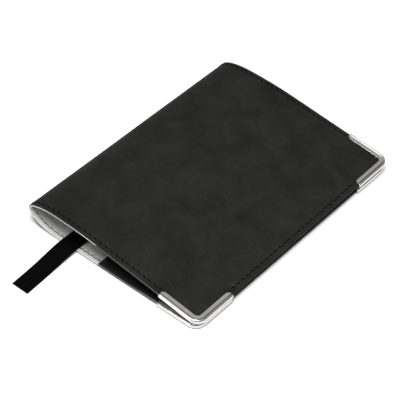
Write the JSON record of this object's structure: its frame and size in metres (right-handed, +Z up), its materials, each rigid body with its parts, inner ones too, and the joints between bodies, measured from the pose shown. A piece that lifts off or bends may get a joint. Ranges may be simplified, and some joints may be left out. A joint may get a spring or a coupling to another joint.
{
  "type": "pocket notebook cover",
  "caption": "Folded soft cover for a pocket notebook, with a pocket flap inside each cover, metal corners and a ribbon marker hanging out of its front end.",
  "frame": {"origin": "middle of the back cover's underside, on the surface it lies on", "axes": "+X from the spine to the fore edge, +Y along the spine from the end where the ribbon comes out, +Z up through the closed cover"},
  "size_m": [0.1018, 0.167, 0.0158],
  "materials": {
    "nubuck": "matte nubuck-look imitation leather, clouded",
    "lining": "woven backing, raw",
    "pocket": "matte black imitation leather",
    "metal": "polished nickel plate",
    "ribbon": "black satin ribbon",
    "thread": "black sewing thread"
  },
  "bodies": {
    "back_cover": {"back_cover_leather": "nubuck", "back_lining": "lining", "back_pocket_flap": "pocket", "back_corner_front": "metal", "back_corner_rear": "metal", "back_seam_front_edge": "thread", "back_seam_fore_edge": "thread", "back_seam_rear_edge": "thread", "back_flap_hem_thread": "thread", "ribbon_sewn_end": "ribbon", "ribbon_tack_thread": "thread"},
    "spine": {"spine_leather": "nubuck", "spine_lining": "lining", "spine_seam_front_edge": "thread", "spine_seam_rear_edge": "thread"},
    "front_cover": {"front_cover_leather": "nubuck", "front_lining": "lining", "front_pocket_flap": "pocket", "front_corner_front": "metal", "front_corner_rear": "metal", "front_seam_front_edge": "thread", "front_seam_fore_edge": "thread", "front_seam_rear_edge": "thread", "front_flap_hem_thread": "thread"},
    "marker": {"ribbon_marker": "ribbon"},
    "marker_tail": {"ribbon_tail": "ribbon"}
  },
  "joints": [
    {"name": "spine_fold", "type": "hinge", "parent": "back_cover", "child": "spine", "pos_m": [-0.04791, 0, 0.00483], "axis": [0, -1, 0], "range_deg": [0, 90]},
    {"name": "front_fold", "type": "hinge", "parent": "spine", "child": "front_cover", "pos_m": [-0.0464, 0, 0.01287], "axis": [0, -1, 0], "range_deg": [0, 97]},
    {"name": "marker_swing", "type": "hinge", "parent": "back_cover", "child": "marker", "pos_m": [-0.025, 0.0545, 0.0014], "axis": [0, 0, 1], "range_deg": [-3, 4.5]},
    {"name": "tail_lift", "type": "hinge", "parent": "marker", "child": "marker_tail", "pos_m": [-0.025, -0.0677, 0.0022], "axis": [-1, 0, 0], "range_deg": [0, 90]}
  ],
  "couplings": [
    {"joint": "front_fold", "follows": "spine_fold", "ratio": 1.0777}
  ]
}
